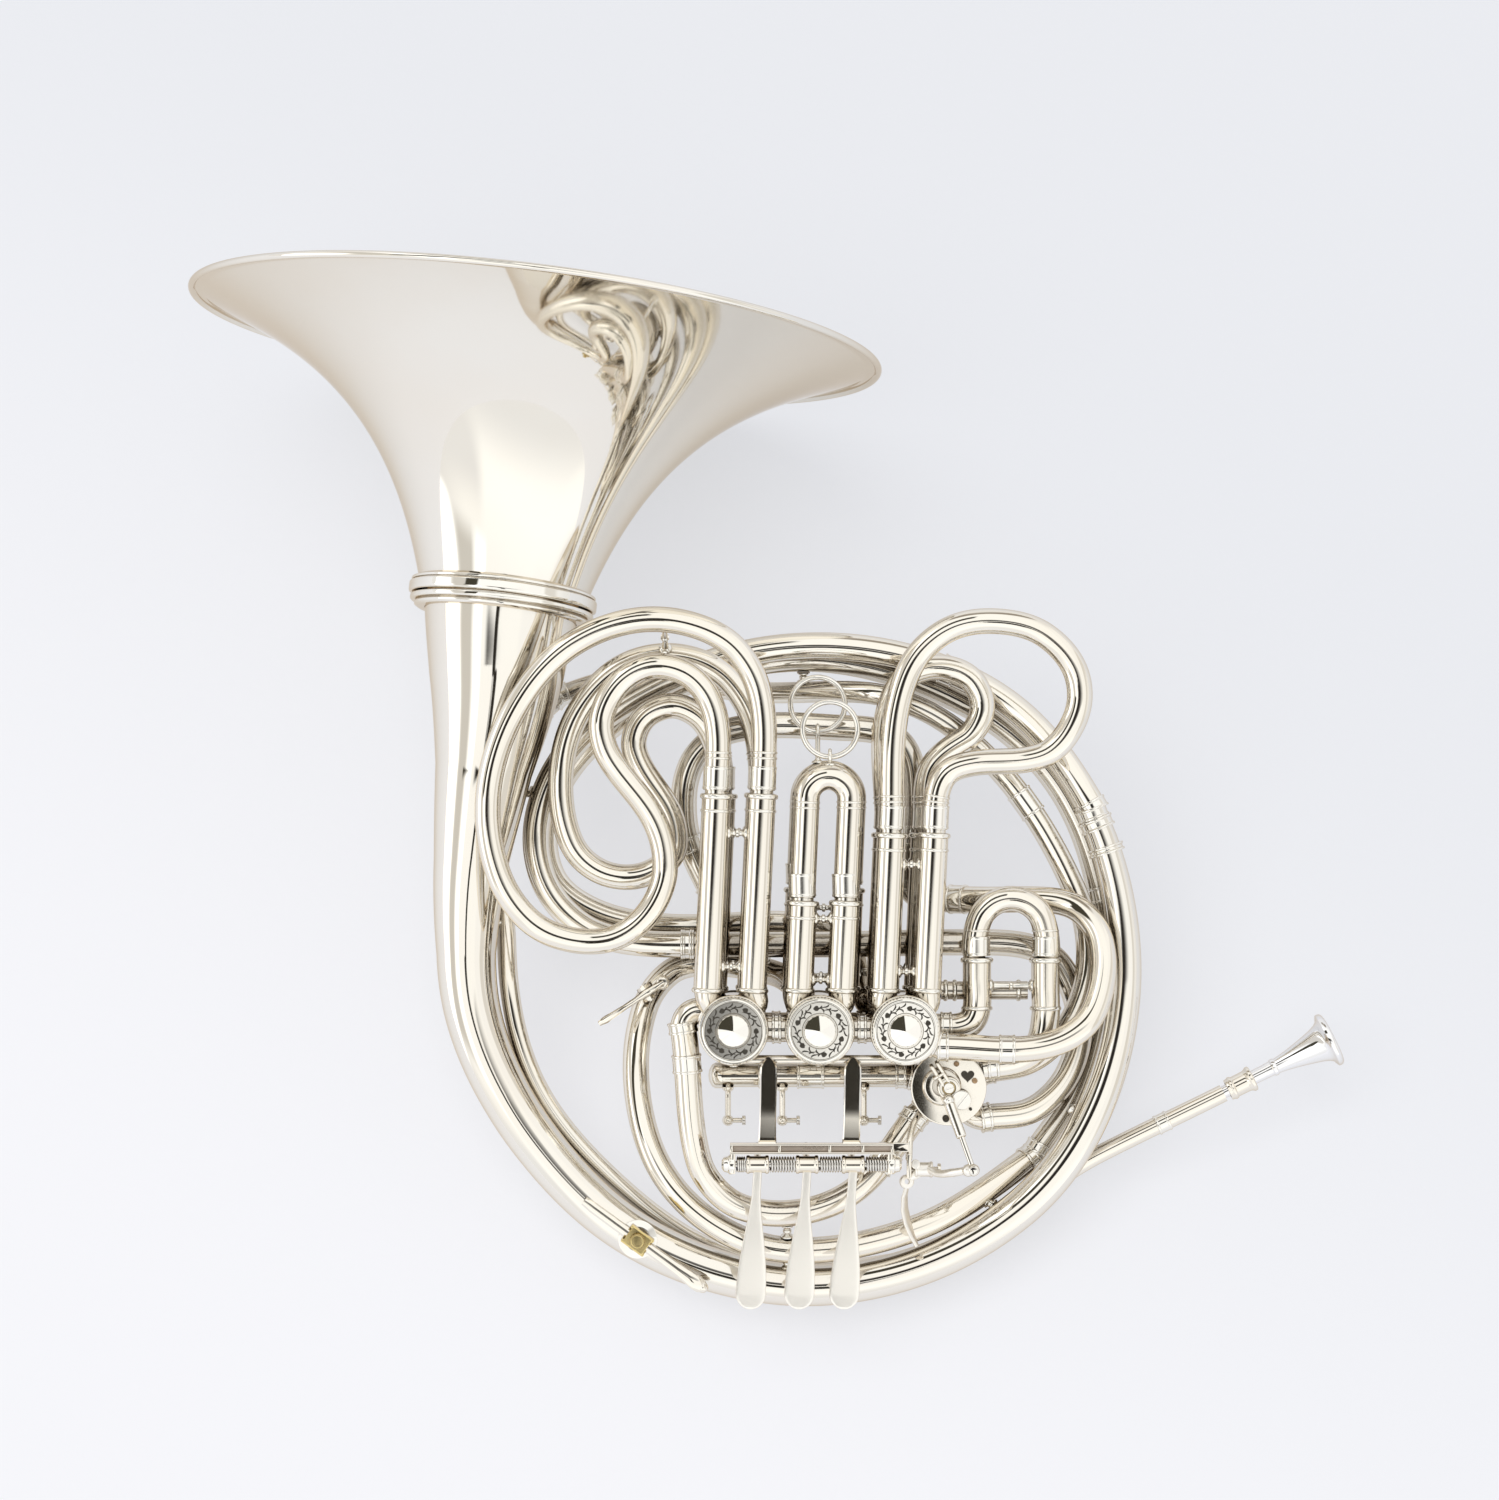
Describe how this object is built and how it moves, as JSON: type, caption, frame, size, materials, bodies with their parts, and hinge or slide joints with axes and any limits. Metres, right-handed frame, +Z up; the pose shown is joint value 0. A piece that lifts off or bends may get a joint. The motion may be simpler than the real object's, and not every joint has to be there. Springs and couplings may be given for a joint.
{
  "type": "double french horn",
  "caption": "Coiled brass wind instrument with a wide screw-off bell, rotary valves, lever keys, tuning slides and a funnel mouthpiece.",
  "frame": {"origin": "centre of the bottom of the bounding box, on the surface the horn lies on", "axes": "+Z up; +X along the longest side, from the bell tail towards the mouthpiece; +Y towards the bell"},
  "size_m": [0.512, 0.4674, 0.3001],
  "materials": {
    "nickel_silver": "polished nickel silver, clear lacquer",
    "mouthpiece_silver": "silver plated, mirror polished",
    "bright_steel": "bright turned steel",
    "rotor_brass": "ground brass",
    "clamp_brass": "worn yellow brass",
    "lever_satin": "satin nickel silver"
  },
  "bodies": {
    "horn_body": {"bell_tail": "nickel_silver", "bell_branch_tube": "nickel_silver", "return_tube": "nickel_silver", "main_loop_tube": "nickel_silver", "lower_loop_tube": "nickel_silver", "leadpipe": "nickel_silver", "leadpipe_branch_tube": "nickel_silver", "inner_bow_tube": "nickel_silver", "valve_1_bow_tube": "nickel_silver", "valve_3_bow_tube": "nickel_silver", "cross_tube": "nickel_silver", "mouthpiece_receiver": "nickel_silver", "valve_casing_1": "nickel_silver", "valve_cap_1": "nickel_silver", "valve_casing_2": "nickel_silver", "valve_cap_2": "nickel_silver", "valve_casing_3": "nickel_silver", "valve_cap_3": "nickel_silver", "change_valve_casing": "nickel_silver", "change_valve_cap": "nickel_silver", "f_slide_3_sleeves": "nickel_silver", "f_slide_2_sleeves": "nickel_silver", "f_slide_1_sleeves": "nickel_silver", "b_flat_slide_3_sleeves": "nickel_silver", "b_flat_slide_2_sleeves": "nickel_silver", "b_flat_slide_1_sleeves": "nickel_silver", "tuning_slide_sleeves": "nickel_silver", "lever_rack": "nickel_silver", "lever_hinge_rod": "bright_steel", "thumb_lever_hinge": "bright_steel", "water_key_saddle": "nickel_silver", "finger_hook_base": "clamp_brass"},
    "bell": {"bell_flare": "nickel_silver", "bell_screw_ring": "nickel_silver"},
    "f_slide_1": {"f_slide_1": "nickel_silver"},
    "f_slide_2": {"f_slide_2": "nickel_silver"},
    "f_slide_3": {"f_slide_3": "nickel_silver"},
    "b_flat_slide_1": {"b_flat_slide_1": "nickel_silver"},
    "b_flat_slide_2": {"b_flat_slide_2": "nickel_silver"},
    "b_flat_slide_3": {"b_flat_slide_3": "nickel_silver"},
    "tuning_slide": {"tuning_slide": "nickel_silver"},
    "upper_pull_ring": {"upper_pull_ring": "bright_steel"},
    "lower_pull_ring": {"lower_pull_ring": "bright_steel"},
    "rotor_1": {"rotor_1": "rotor_brass", "stop_arm_1": "bright_steel"},
    "rotor_2": {"rotor_2": "rotor_brass", "stop_arm_2": "bright_steel"},
    "rotor_3": {"rotor_3": "rotor_brass", "stop_arm_3": "bright_steel"},
    "change_rotor": {"change_rotor": "rotor_brass", "change_stop_arm": "bright_steel"},
    "lever_1": {"lever_1": "lever_satin"},
    "lever_2": {"lever_2": "lever_satin"},
    "lever_3": {"lever_3": "lever_satin"},
    "thumb_lever": {"thumb_lever": "lever_satin"},
    "thumb_link": {"thumb_link_rod": "bright_steel"},
    "water_key": {"water_key_lever": "nickel_silver"},
    "finger_hook": {"finger_hook": "nickel_silver"},
    "hook_screw": {"finger_hook_screw": "clamp_brass"},
    "mouthpiece": {"mouthpiece": "mouthpiece_silver"}
  },
  "joints": [
    {"name": "bell_unscrew", "type": "hinge", "parent": "horn_body", "child": "bell", "pos_m": [-0.11708, 0.07212, 0.11985], "axis": [0.1164, 0.9626, 0.2448], "range_deg": [0, 720]},
    {"name": "f_slide_1_pull", "type": "slide", "parent": "horn_body", "child": "f_slide_1", "axis": [0.045, 0.9369, 0.3466], "range_m": [0, 0.03]},
    {"name": "f_slide_2_pull", "type": "slide", "parent": "horn_body", "child": "f_slide_2", "axis": [0.045, 0.9369, 0.3466], "range_m": [0, 0.025]},
    {"name": "f_slide_3_pull", "type": "slide", "parent": "horn_body", "child": "f_slide_3", "axis": [0.045, 0.9369, 0.3466], "range_m": [0, 0.018]},
    {"name": "b_flat_slide_1_pull", "type": "slide", "parent": "horn_body", "child": "b_flat_slide_1", "axis": [0.045, 0.9369, 0.3466], "range_m": [0, 0.03]},
    {"name": "b_flat_slide_2_pull", "type": "slide", "parent": "horn_body", "child": "b_flat_slide_2", "axis": [0.045, 0.9369, 0.3466], "range_m": [0, 0.025]},
    {"name": "b_flat_slide_3_pull", "type": "slide", "parent": "horn_body", "child": "b_flat_slide_3", "axis": [0.045, 0.9369, 0.3466], "range_m": [0, 0.012]},
    {"name": "tuning_slide_pull", "type": "slide", "parent": "horn_body", "child": "tuning_slide", "axis": [0, 0.9379, 0.3469], "range_m": [0, 0.014]},
    {"name": "upper_pull_ring_swing", "type": "hinge", "parent": "f_slide_2", "child": "upper_pull_ring", "pos_m": [0.02742, -0.00541, 0.13489], "axis": [1, 0, 0], "range_deg": [-30, 90]},
    {"name": "lower_pull_ring_swing", "type": "hinge", "parent": "b_flat_slide_2", "child": "lower_pull_ring", "pos_m": [0.02242, 0.01462, 0.11244], "axis": [1, 0, 0], "range_deg": [-15, 45]},
    {"name": "rotor_1_turn", "type": "hinge", "parent": "horn_body", "child": "rotor_1", "pos_m": [0.05992, -0.10961, 0.07502], "axis": [0, -0.3469, 0.9379], "range_deg": [0, 75]},
    {"name": "lever_1_press", "type": "hinge", "parent": "horn_body", "child": "lever_1", "pos_m": [0.03742, -0.17245, 0.0763], "axis": [1, 0, 0], "range_deg": [0, 12], "stiffness_Nm_per_rad": 0.3, "springref_deg": -8.59},
    {"name": "rotor_2_turn", "type": "hinge", "parent": "horn_body", "child": "rotor_2", "pos_m": [0.02292, -0.10961, 0.07502], "axis": [0, -0.3469, 0.9379], "range_deg": [0, 75]},
    {"name": "lever_2_press", "type": "hinge", "parent": "horn_body", "child": "lever_2", "pos_m": [0.01742, -0.17245, 0.0763], "axis": [1, 0, 0], "range_deg": [0, 12], "stiffness_Nm_per_rad": 0.3, "springref_deg": -8.59},
    {"name": "rotor_3_turn", "type": "hinge", "parent": "horn_body", "child": "rotor_3", "pos_m": [-0.01458, -0.10961, 0.07502], "axis": [0, -0.3469, 0.9379], "range_deg": [0, 75]},
    {"name": "lever_3_press", "type": "hinge", "parent": "horn_body", "child": "lever_3", "pos_m": [-0.00408, -0.17245, 0.0763], "axis": [1, 0, 0], "range_deg": [0, 12], "stiffness_Nm_per_rad": 0.3, "springref_deg": -8.59},
    {"name": "change_rotor_turn", "type": "hinge", "parent": "horn_body", "child": "change_rotor", "pos_m": [0.07942, -0.13052, 0.05662], "axis": [0, -0.3469, 0.9379], "range_deg": [0, 50]},
    {"name": "thumb_lever_press", "type": "hinge", "parent": "horn_body", "child": "thumb_lever", "pos_m": [0.06842, -0.17145, 0.06494], "axis": [-1, 0, 0], "range_deg": [0, 22], "stiffness_Nm_per_rad": 0.15, "springref_deg": -11.46},
    {"name": "thumb_link_tip", "type": "hinge", "parent": "thumb_lever", "child": "thumb_link", "pos_m": [0.08942, -0.17641, 0.08123], "axis": [1, 0, 0], "range_deg": [0, 22]},
    {"name": "water_key_press", "type": "hinge", "parent": "horn_body", "child": "water_key", "pos_m": [-0.05258, -0.09011, 0.0641], "axis": [0.5446, -0.7866, -0.291], "range_deg": [0, 22], "stiffness_Nm_per_rad": 0.03, "springref_deg": -17.19},
    {"name": "finger_hook_adjust", "type": "slide", "parent": "horn_body", "child": "finger_hook", "axis": [0.8069, -0.554, -0.2049], "range_m": [-0.008, 0.008]},
    {"name": "hook_screw_turn", "type": "hinge", "parent": "horn_body", "child": "hook_screw", "pos_m": [-0.05658, -0.2003, 0.05213], "axis": [0, -0.3469, 0.9379], "range_deg": [0, 720]},
    {"name": "mouthpiece_pull", "type": "slide", "parent": "horn_body", "child": "mouthpiece", "axis": [0.8944, 0.4194, 0.1552], "range_m": [0, 0.02]}
  ],
  "couplings": [
    {"joint": "lever_1_press", "follows": "rotor_1_turn", "ratio": 0.16},
    {"joint": "lever_2_press", "follows": "rotor_2_turn", "ratio": 0.16},
    {"joint": "lever_3_press", "follows": "rotor_3_turn", "ratio": 0.16},
    {"joint": "thumb_lever_press", "follows": "change_rotor_turn", "ratio": 0.44},
    {"joint": "thumb_link_tip", "follows": "change_rotor_turn", "ratio": 0.44}
  ]
}
